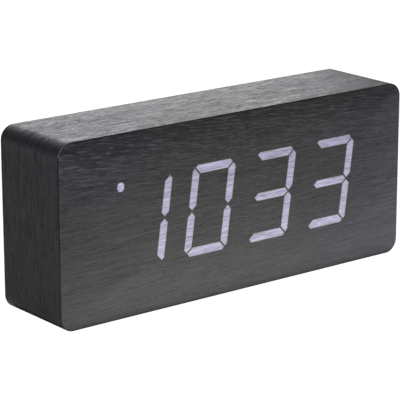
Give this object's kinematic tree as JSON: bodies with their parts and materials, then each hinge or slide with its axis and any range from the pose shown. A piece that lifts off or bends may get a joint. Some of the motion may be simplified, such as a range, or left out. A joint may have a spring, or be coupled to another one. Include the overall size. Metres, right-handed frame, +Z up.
{
  "type": "LED block alarm clock",
  "caption": "Block-shaped table alarm clock: segment digits glow through its veneered front, with controls in a recessed rear panel and cells under a hinged door below.",
  "frame": {"origin": "on the table, under the middle of the case's width and depth", "axes": "+X to the right seen from the front, +Y from the front to the back, +Z up"},
  "size_m": [0.21, 0.047, 0.09],
  "materials": {
    "black_veneer": "black-stained veneer, satin",
    "black_fibreboard": "fibreboard dyed black",
    "black_plastic": "fine moulded texture",
    "button_plastic": "smooth moulded",
    "reflector_plastic": "white, moulded",
    "light_guide_resin": "milky, lets light through",
    "led_body": "phosphor in clear resin",
    "circuit_board": "green solder mask",
    "chip_plastic": "black moulding compound",
    "steel": "plain",
    "black_steel": "black zinc plated",
    "nickel_plate": "nickel plated",
    "capacitor_can": "plain can",
    "connector_nylon": "natural nylon",
    "ribbon_grey": "flat cable insulation",
    "red_insulation": "lead insulation",
    "black_insulation": "lead insulation",
    "rubber": "soft pad",
    "cell_can": "plain sleeve, bare metal ends"
  },
  "bodies": {
    "clock": {"front_veneer": "black_veneer", "wrap_veneer": "black_veneer", "carcass": "black_fibreboard", "rear_board": "black_fibreboard", "rear_veneer": "black_veneer", "rear_board_screws": "black_steel", "foot_pads": "rubber", "display_reflector": "reflector_plastic", "colon_light_guides": "light_guide_resin", "alarm_light_guide": "light_guide_resin", "segment_leds": "led_body", "display_board": "circuit_board", "display_board_screws": "steel", "clock_chip": "chip_plastic", "crystal": "steel", "smoothing_capacitor": "capacitor_can", "chip_resistors": "chip_plastic", "display_connector": "connector_nylon", "control_connector": "connector_nylon", "ribbon_cable": "ribbon_grey", "positive_lead": "red_insulation", "negative_lead": "black_insulation", "control_panel": "black_plastic", "slide_switch_body": "steel", "power_socket_shell": "nickel_plate", "power_socket_tongue": "chip_plastic", "control_board": "circuit_board", "control_board_screws": "steel", "buzzer": "chip_plastic", "microphone": "capacitor_can", "battery_tray": "black_plastic", "battery_tray_screws": "black_steel", "battery_springs": "nickel_plate", "left_end_contact": "nickel_plate", "right_end_contact": "nickel_plate", "centre_contact": "nickel_plate", "positive_contact": "nickel_plate", "negative_contact": "nickel_plate", "digit_1_light_guides": "light_guide_resin", "battery_cell_1": "cell_can", "digit_2_light_guides": "light_guide_resin", "battery_cell_2": "cell_can", "digit_3_light_guides": "light_guide_resin", "battery_cell_3": "cell_can", "digit_4_light_guides": "light_guide_resin", "battery_cell_4": "cell_can", "set_push_switch": "chip_plastic", "up_push_switch": "chip_plastic", "down_push_switch": "chip_plastic"},
    "set_button": {"set_button": "button_plastic", "set_plunger": "chip_plastic"},
    "up_button": {"up_button": "button_plastic", "up_plunger": "chip_plastic"},
    "down_button": {"down_button": "button_plastic", "down_plunger": "chip_plastic"},
    "sound_switch": {"slide_switch_lever": "button_plastic"},
    "battery_door": {"battery_door": "black_plastic"}
  },
  "joints": [
    {"name": "set_press", "type": "slide", "parent": "clock", "child": "set_button", "axis": [0, -1, 0], "range_m": [0, 0.0005], "stiffness_N_per_m": 500},
    {"name": "up_press", "type": "slide", "parent": "clock", "child": "up_button", "axis": [0, -1, 0], "range_m": [0, 0.0005], "stiffness_N_per_m": 500},
    {"name": "down_press", "type": "slide", "parent": "clock", "child": "down_button", "axis": [0, -1, 0], "range_m": [0, 0.0005], "stiffness_N_per_m": 500},
    {"name": "sound_switch_slide", "type": "slide", "parent": "clock", "child": "sound_switch", "axis": [1, 0, 0], "range_m": [0, 0.003]},
    {"name": "battery_door_hinge", "type": "hinge", "parent": "clock", "child": "battery_door", "pos_m": [0, -0.0122, 0.0014], "axis": [-1, 0, 0], "range_deg": [0, 90]}
  ]
}
